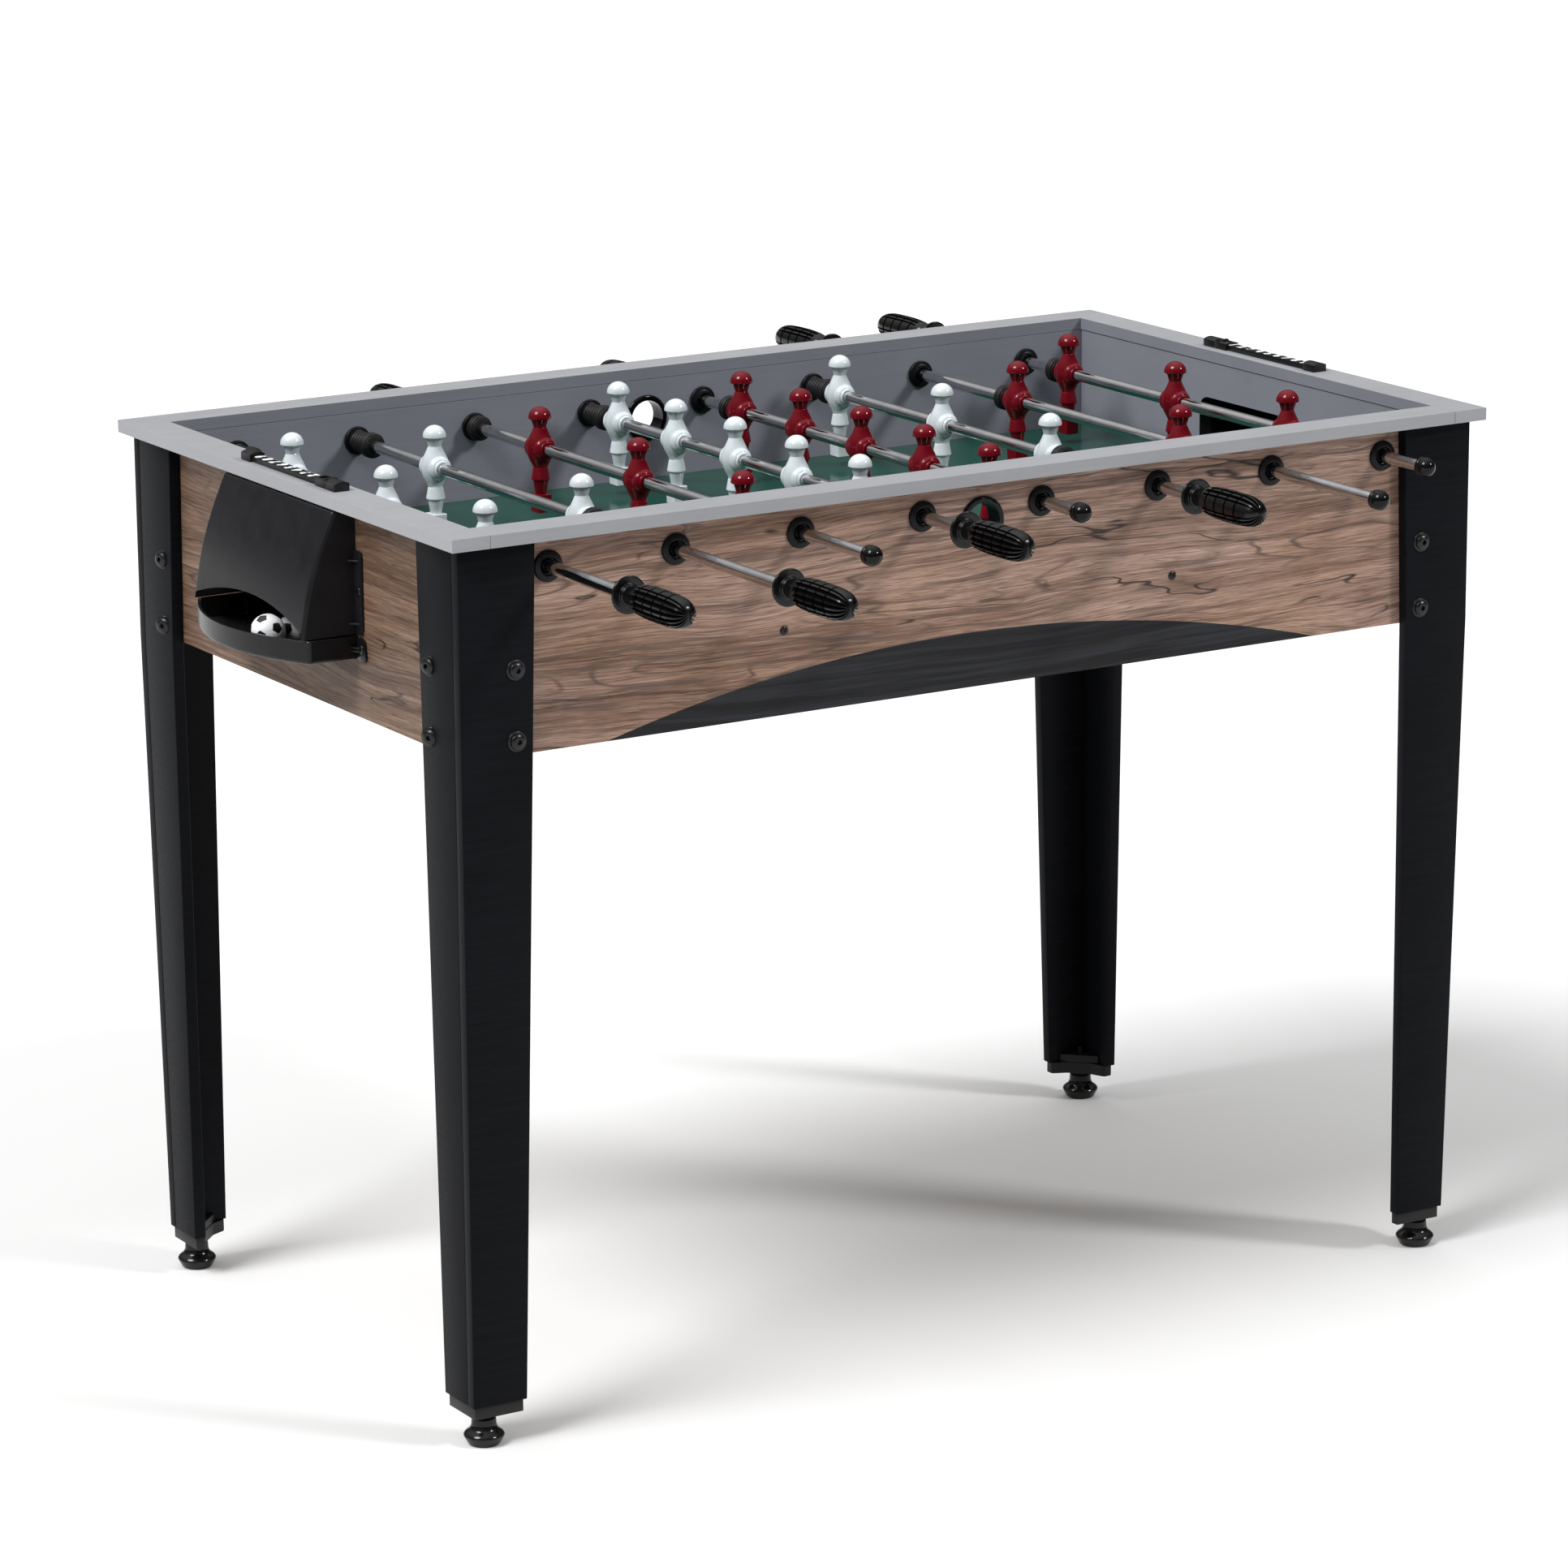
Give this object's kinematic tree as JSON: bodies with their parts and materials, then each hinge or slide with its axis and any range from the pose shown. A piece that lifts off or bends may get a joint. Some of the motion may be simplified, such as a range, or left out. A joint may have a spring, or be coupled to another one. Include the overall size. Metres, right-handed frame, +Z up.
{
  "type": "foosball table",
  "caption": "Free-standing football game table: oak-look cabinet on black legs, sliding and spinning rods with figures, goals, ball-return trays and score counters.",
  "frame": {"origin": "on the floor, under the middle of the whole table's box with the rods at rest, which is 17.8 mm in -Y from the middle of the cabinet", "axes": "+X along the length of the table, from the white team's goal to the red team's; +Y across it, from the player with white figures to the player with red; +Z up"},
  "size_m": [1.35, 1.2804, 0.9278],
  "materials": {
    "oak": "brown oak-look laminate, satin",
    "grey": "light grey laminate on board, satin",
    "green": "dark green printed board, glossy",
    "leg": "black laminate on board, satin",
    "black_gloss": "moulded black plastic, glossy",
    "black_matte": "moulded black plastic, satin",
    "white_team": "white team's figures, glossy; the rod through them is chrome",
    "red_team": "red team's figures, glossy; the rod through them is chrome",
    "ball": "white plastic with black pentagons, glossy"
  },
  "bodies": {
    "cabinet": {"side_panel_front": "oak", "side_panel_back": "oak", "end_panel_left": "oak", "end_panel_right": "oak", "field_support_left": "oak", "field_support_right": "oak", "playfield": "green", "top_rail_front": "grey", "top_rail_back": "grey", "top_rail_left": "grey", "top_rail_right": "grey", "leg_front_left": "leg", "leg_end_block_front_left": "black_matte", "leg_front_right": "leg", "leg_end_block_front_right": "black_matte", "leg_back_left": "leg", "leg_end_block_back_left": "black_matte", "leg_back_right": "leg", "leg_end_block_back_right": "black_matte", "return_hood_left": "black_matte", "return_tray_left": "black_matte", "score_bar_left": "black_matte", "return_hood_right": "black_matte", "return_tray_right": "black_matte", "score_bar_right": "black_matte", "serve_cup_front": "black_gloss", "serve_cup_back": "black_gloss"},
    "bearing_1": {"bearing_1": "black_matte"},
    "rod_1": {"rod_1": "white_team", "handle_1": "black_gloss"},
    "bearing_2": {"bearing_2": "black_matte"},
    "rod_2": {"rod_2": "white_team", "handle_2": "black_gloss"},
    "bearing_3": {"bearing_3": "black_matte"},
    "rod_3": {"rod_3": "red_team", "handle_3": "black_gloss"},
    "bearing_4": {"bearing_4": "black_matte"},
    "rod_4": {"rod_4": "white_team", "handle_4": "black_gloss"},
    "bearing_5": {"bearing_5": "black_matte"},
    "rod_5": {"rod_5": "red_team", "handle_5": "black_gloss"},
    "bearing_6": {"bearing_6": "black_matte"},
    "rod_6": {"rod_6": "white_team", "handle_6": "black_gloss"},
    "bearing_7": {"bearing_7": "black_matte"},
    "rod_7": {"rod_7": "red_team", "handle_7": "black_gloss"},
    "bearing_8": {"bearing_8": "black_matte"},
    "rod_8": {"rod_8": "red_team", "handle_8": "black_gloss"},
    "foot_front_left": {"levelling_foot_front_left": "black_gloss"},
    "foot_front_right": {"levelling_foot_front_right": "black_gloss"},
    "foot_back_left": {"levelling_foot_back_left": "black_gloss"},
    "foot_back_right": {"levelling_foot_back_right": "black_gloss"},
    "score_slider_left": {"score_slider_left": "black_matte"},
    "score_slider_right": {"score_slider_right": "black_matte"},
    "ball_1": {"game_ball_1": "ball"},
    "ball_2": {"game_ball_2": "ball"}
  },
  "joints": [
    {"name": "rod_1_spin", "type": "hinge", "parent": "cabinet", "child": "bearing_1", "pos_m": [-0.49385, 0.0178, 0.8755], "axis": [0, 1, 0], "continuous": true},
    {"name": "rod_1_slide", "type": "slide", "parent": "bearing_1", "child": "rod_1", "axis": [0, 1, 0], "range_m": [-0.0728, 0.0717]},
    {"name": "rod_2_spin", "type": "hinge", "parent": "cabinet", "child": "bearing_2", "pos_m": [-0.35275, 0.0178, 0.8755], "axis": [0, 1, 0], "continuous": true},
    {"name": "rod_2_slide", "type": "slide", "parent": "bearing_2", "child": "rod_2", "axis": [0, 1, 0], "range_m": [-0.1327, 0.1168]},
    {"name": "rod_3_spin", "type": "hinge", "parent": "cabinet", "child": "bearing_3", "pos_m": [-0.21165, 0.0178, 0.8755], "axis": [0, 1, 0], "continuous": true},
    {"name": "rod_3_slide", "type": "slide", "parent": "bearing_3", "child": "rod_3", "axis": [0, 1, 0], "range_m": [-0.0348, 0.1097]},
    {"name": "rod_4_spin", "type": "hinge", "parent": "cabinet", "child": "bearing_4", "pos_m": [-0.07055, 0.0178, 0.8755], "axis": [0, 1, 0], "continuous": true},
    {"name": "rod_4_slide", "type": "slide", "parent": "bearing_4", "child": "rod_4", "axis": [0, 1, 0], "range_m": [-0.0651, 0.0054]},
    {"name": "rod_5_spin", "type": "hinge", "parent": "cabinet", "child": "bearing_5", "pos_m": [0.07055, 0.0178, 0.8755], "axis": [0, 1, 0], "continuous": true},
    {"name": "rod_5_slide", "type": "slide", "parent": "bearing_5", "child": "rod_5", "axis": [0, 1, 0], "range_m": [-0.0208, 0.0497]},
    {"name": "rod_6_spin", "type": "hinge", "parent": "cabinet", "child": "bearing_6", "pos_m": [0.21165, 0.0178, 0.8755], "axis": [0, 1, 0], "continuous": true},
    {"name": "rod_6_slide", "type": "slide", "parent": "bearing_6", "child": "rod_6", "axis": [0, 1, 0], "range_m": [-0.1444, 0.0001]},
    {"name": "rod_7_spin", "type": "hinge", "parent": "cabinet", "child": "bearing_7", "pos_m": [0.35275, 0.0178, 0.8755], "axis": [0, 1, 0], "continuous": true},
    {"name": "rod_7_slide", "type": "slide", "parent": "bearing_7", "child": "rod_7", "axis": [0, 1, 0], "range_m": [-0.0872, 0.1623]},
    {"name": "rod_8_spin", "type": "hinge", "parent": "cabinet", "child": "bearing_8", "pos_m": [0.49385, 0.0178, 0.8755], "axis": [0, 1, 0], "continuous": true},
    {"name": "rod_8_slide", "type": "slide", "parent": "bearing_8", "child": "rod_8", "axis": [0, 1, 0], "range_m": [-0.092, 0.0525]},
    {"name": "foot_front_left_screw", "type": "slide", "parent": "cabinet", "child": "foot_front_left", "axis": [0, 0, -1], "range_m": [0, 0.012]},
    {"name": "foot_front_right_screw", "type": "slide", "parent": "cabinet", "child": "foot_front_right", "axis": [0, 0, -1], "range_m": [0, 0.012]},
    {"name": "foot_back_left_screw", "type": "slide", "parent": "cabinet", "child": "foot_back_left", "axis": [0, 0, -1], "range_m": [0, 0.012]},
    {"name": "foot_back_right_screw", "type": "slide", "parent": "cabinet", "child": "foot_back_right", "axis": [0, 0, -1], "range_m": [0, 0.012]},
    {"name": "score_left_slide", "type": "slide", "parent": "cabinet", "child": "score_slider_left", "axis": [0, 1, 0], "range_m": [0, 0.1414]},
    {"name": "score_right_slide", "type": "slide", "parent": "cabinet", "child": "score_slider_right", "axis": [0, -1, 0], "range_m": [0, 0.1414]},
    {"name": "ball_1_roll", "type": "slide", "parent": "cabinet", "child": "ball_1", "axis": [0, 1, 0], "range_m": [-0.015, 0.101]},
    {"name": "ball_2_roll", "type": "slide", "parent": "cabinet", "child": "ball_2", "axis": [0, 1, 0], "range_m": [-0.055, 0.128]}
  ]
}
